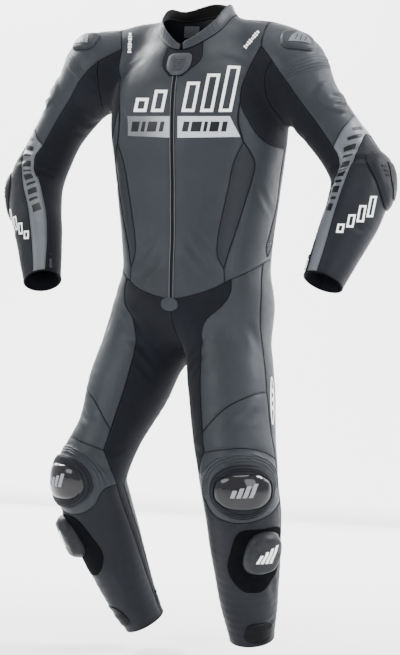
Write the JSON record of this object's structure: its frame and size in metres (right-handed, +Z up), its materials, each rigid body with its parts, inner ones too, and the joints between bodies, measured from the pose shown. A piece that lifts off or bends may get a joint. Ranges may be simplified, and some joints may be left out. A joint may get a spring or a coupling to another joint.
{
  "type": "one-piece motorcycle race suit",
  "caption": "One-piece motorcycle race suit in leather and stretch panels with collar, front zip, armour pads, knee cups and knee sliders, held in a worn standing pose.",
  "frame": {"origin": "centre of the collar's base ring, where the wearer's neck holds the suit up", "axes": "+Z up, the wearer faces -Y, the wearer's left is +X"},
  "size_m": [0.9305, 0.3588, 1.3976],
  "materials": {
    "leather": "mid blue-grey cowhide, soft sheen, light bands sewn or printed across the chest",
    "dark_leather": "darker grey cowhide",
    "silver_leather": null,
    "stretch": "blue-black stretch weave and ribbed stretch leather",
    "zip": "dark zip tape with metal teeth",
    "cup": "gloss black moulded cup",
    "puck": "dark matt moulded slider",
    "rubber": "grey moulded rubber"
  },
  "bodies": {
    "suit": {"back": "leather", "calf_L": "dark_leather", "calf_R": "dark_leather", "calf_strip_L": "stretch", "calf_strip_R": "stretch", "chest_stretch_L": "stretch", "chest_stretch_R": "stretch", "collar": "leather", "elbow_guard_L": "dark_leather", "elbow_guard_R": "dark_leather", "forearm_L": "dark_leather", "forearm_R": "dark_leather", "front_L": "leather", "front_R": "leather", "front_zip": "zip", "groin_stretch_L": "stretch", "groin_stretch_R": "stretch", "hem_patch_L": "dark_leather", "hem_patch_R": "dark_leather", "knee_L": "leather", "knee_R": "leather", "knee_cup_L": "cup", "knee_cup_R": "cup", "knee_ring_L": "dark_leather", "knee_ring_R": "dark_leather", "knee_slider_L": "puck", "knee_slider_R": "puck", "leaf_L": "dark_leather", "leaf_R": "dark_leather", "seat_L": "leather", "seat_R": "leather", "shank_L": "dark_leather", "shank_R": "dark_leather", "shoulder_cup_L": "leather", "shoulder_cup_R": "leather", "side_front_L": "leather", "side_front_R": "leather", "side_strip_L": "stretch", "side_strip_R": "stretch", "sleeve_band_L": "silver_leather", "sleeve_band_R": "silver_leather", "sleeve_stretch_L": "stretch", "sleeve_stretch_R": "stretch", "sleeve_top_L": "leather", "sleeve_top_R": "leather", "slider_patch_L": "stretch", "slider_patch_R": "stretch", "thigh_lower_L": "leather", "thigh_lower_R": "leather", "thigh_upper_L": "leather", "thigh_upper_R": "leather", "throat": "stretch", "zip_badge": "rubber", "zip_tab": "leather"},
    "cuff_pull_L_body": {"cuff_pull_L": "rubber"},
    "calf_pull_L_body": {"calf_pull_L": "rubber"},
    "cuff_pull_R_body": {"cuff_pull_R": "rubber"},
    "calf_pull_R_body": {"calf_pull_R": "rubber"}
  },
  "joints": [
    {"name": "cuff_pull_L_hinge", "type": "hinge", "parent": "suit", "child": "cuff_pull_L_body", "pos_m": [0.31206, -0.13348, -0.48989], "axis": [-0.5526, 0.7707, -0.3174], "range_deg": [0, 95]},
    {"name": "calf_pull_L_hinge", "type": "hinge", "parent": "suit", "child": "calf_pull_L_body", "pos_m": [0.08036, -0.02184, -1.26375], "axis": [0.2033, 0.9425, 0.2651], "range_deg": [0, 95]},
    {"name": "cuff_pull_R_hinge", "type": "hinge", "parent": "suit", "child": "cuff_pull_R_body", "pos_m": [-0.30335, -0.12319, -0.49351], "axis": [-0.5958, -0.7726, 0.2192], "range_deg": [0, 95]},
    {"name": "calf_pull_R_hinge", "type": "hinge", "parent": "suit", "child": "calf_pull_R_body", "pos_m": [-0.10825, 0.00909, -1.24437], "axis": [0.2992, -0.8941, -0.3333], "range_deg": [0, 95]}
  ]
}
